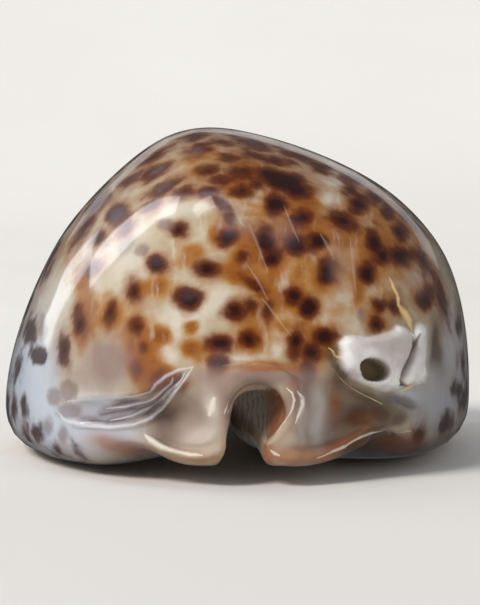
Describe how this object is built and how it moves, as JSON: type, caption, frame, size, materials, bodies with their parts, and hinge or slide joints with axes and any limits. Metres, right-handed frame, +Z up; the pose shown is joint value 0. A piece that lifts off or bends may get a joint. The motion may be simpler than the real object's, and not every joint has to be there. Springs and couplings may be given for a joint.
{
  "type": "rat cowrie shell",
  "caption": "Domed, hump-backed sea shell with a toothed slit along its base, rolled canal rims at both ends and a healed wound; rests on its base.",
  "frame": {"origin": "middle of the footprint, on the surface that the base rests on", "axes": "+Z up from the base to the hump, +Y from the front canal to the spire end, +X towards the inner (columellar) lip"},
  "size_m": [0.0474, 0.066, 0.0324],
  "materials": {
    "enamel": "glossy shell enamel: cream to grey-white ground with merged chestnut and ochre spots, bluish margins and a cream to orange-brown base"
  },
  "bodies": {
    "root": {"shell": "enamel"}
  },
  "joints": []
}
